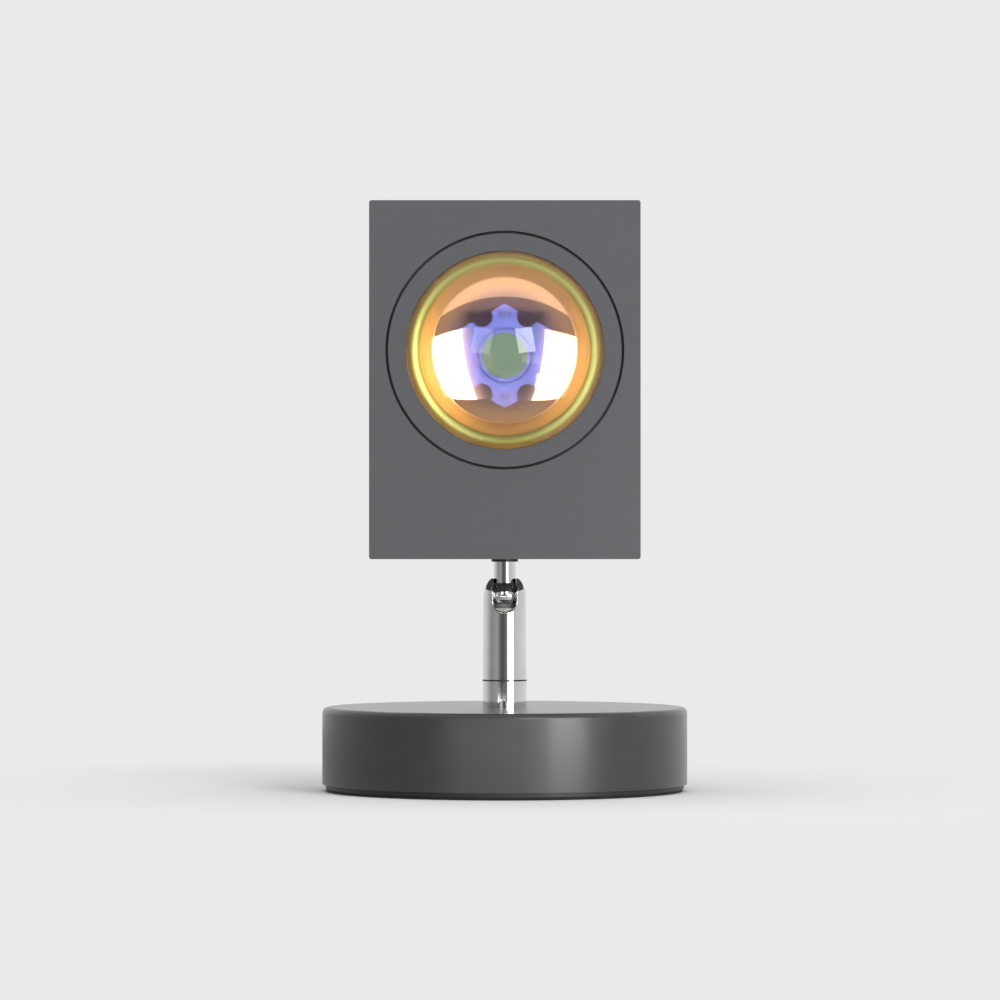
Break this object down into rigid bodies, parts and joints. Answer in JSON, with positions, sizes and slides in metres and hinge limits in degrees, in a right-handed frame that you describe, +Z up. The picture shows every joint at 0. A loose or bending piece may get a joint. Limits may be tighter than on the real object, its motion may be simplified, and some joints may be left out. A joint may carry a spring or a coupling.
{
  "type": "sunset projection lamp",
  "caption": "Table lamp that projects a coloured glow: a tall box head with a coated dome lens, on a chrome ball joint and swivelling post over a weighted round base.",
  "frame": {"origin": "middle of the base's underside, on the surface that the lamp stands on", "axes": "+Z up along the post, -Y out of the lens, +X to the right as seen from the front"},
  "size_m": [0.123, 0.123, 0.1972],
  "materials": {
    "head_paint": "fine-textured matt dark grey powder coat",
    "base_paint": "smooth satin dark grey lacquer",
    "cast_iron": "as cast, blackened",
    "black_plastic": "moulded, matt",
    "soft_foot": "soft, matt",
    "black_rubber": "moulded, matt",
    "zinc_steel": "zinc-plated",
    "chrome_plate": "polished",
    "brass_turned": "turned",
    "nylon_black": "moulded nylon",
    "nylon_white": "moulded nylon",
    "board_green": "solder mask",
    "driver_parts": "lacquered parts",
    "terminal_green": "moulded",
    "wire_red": "soft insulation",
    "coated_glass": "polished dome with a warm interference coating",
    "barrel_lacquer": "spun, dark lacquer inside",
    "board_white": "white solder mask on metal core",
    "phosphor": "silicone phosphor, unlit",
    "pad_grey": "soft thermal pad",
    "bare_aluminium": "extruded, bare",
    "spring_steel": "drawn wire"
  },
  "bodies": {
    "base": {"base_shell": "base_paint", "ballast_disc": "cast_iron", "bottom_cover": "black_plastic", "foot_ring": "soft_foot", "cover_screws": "zinc_steel", "cable_bush": "black_rubber", "collar": "chrome_plate", "collar_washer": "zinc_steel", "collar_nut": "brass_turned", "driver_board": "board_green", "driver_parts": "driver_parts", "terminal_block": "terminal_green", "driver_screws": "zinc_steel", "base_lead": "wire_red"},
    "post": {"ball_socket": "chrome_plate", "swivel_stud": "brass_turned", "swivel_washer": "nylon_black", "spring_washer": "spring_steel", "stud_nut": "brass_turned", "ball_seat": "nylon_white", "joint_spring": "spring_steel", "post_lead": "wire_red"},
    "stem": {"ball_stem": "chrome_plate", "stem_washer": "nylon_black", "spin_washer": "nylon_white", "wave_washer": "spring_steel", "stem_nut": "zinc_steel", "stem_lead": "wire_red"},
    "head": {"head_shell": "head_paint", "rear_cover": "head_paint", "rear_screws": "zinc_steel", "lens_bezel": "head_paint", "lens": "coated_glass", "lens_gasket": "black_rubber", "lens_barrel": "barrel_lacquer", "barrel_screws": "zinc_steel", "led_board": "board_white", "led_emitter": "phosphor", "board_screws": "zinc_steel", "thermal_pad": "pad_grey", "heat_sink": "bare_aluminium", "heat_sink_screws": "zinc_steel", "head_lead": "wire_red"}
  },
  "joints": [
    {"name": "post_swivel", "type": "hinge", "parent": "base", "child": "post", "pos_m": [0, 0, 0.037], "axis": [0, 0, 1], "range_deg": [-180, 180]},
    {"name": "ball_tilt", "type": "hinge", "parent": "post", "child": "stem", "pos_m": [0, 0, 0.066], "axis": [1, 0, 0], "range_deg": [-8, 88]},
    {"name": "head_spin", "type": "hinge", "parent": "stem", "child": "head", "pos_m": [0, 0, 0.0782], "axis": [0, 0, 1], "range_deg": [-180, 180]}
  ]
}
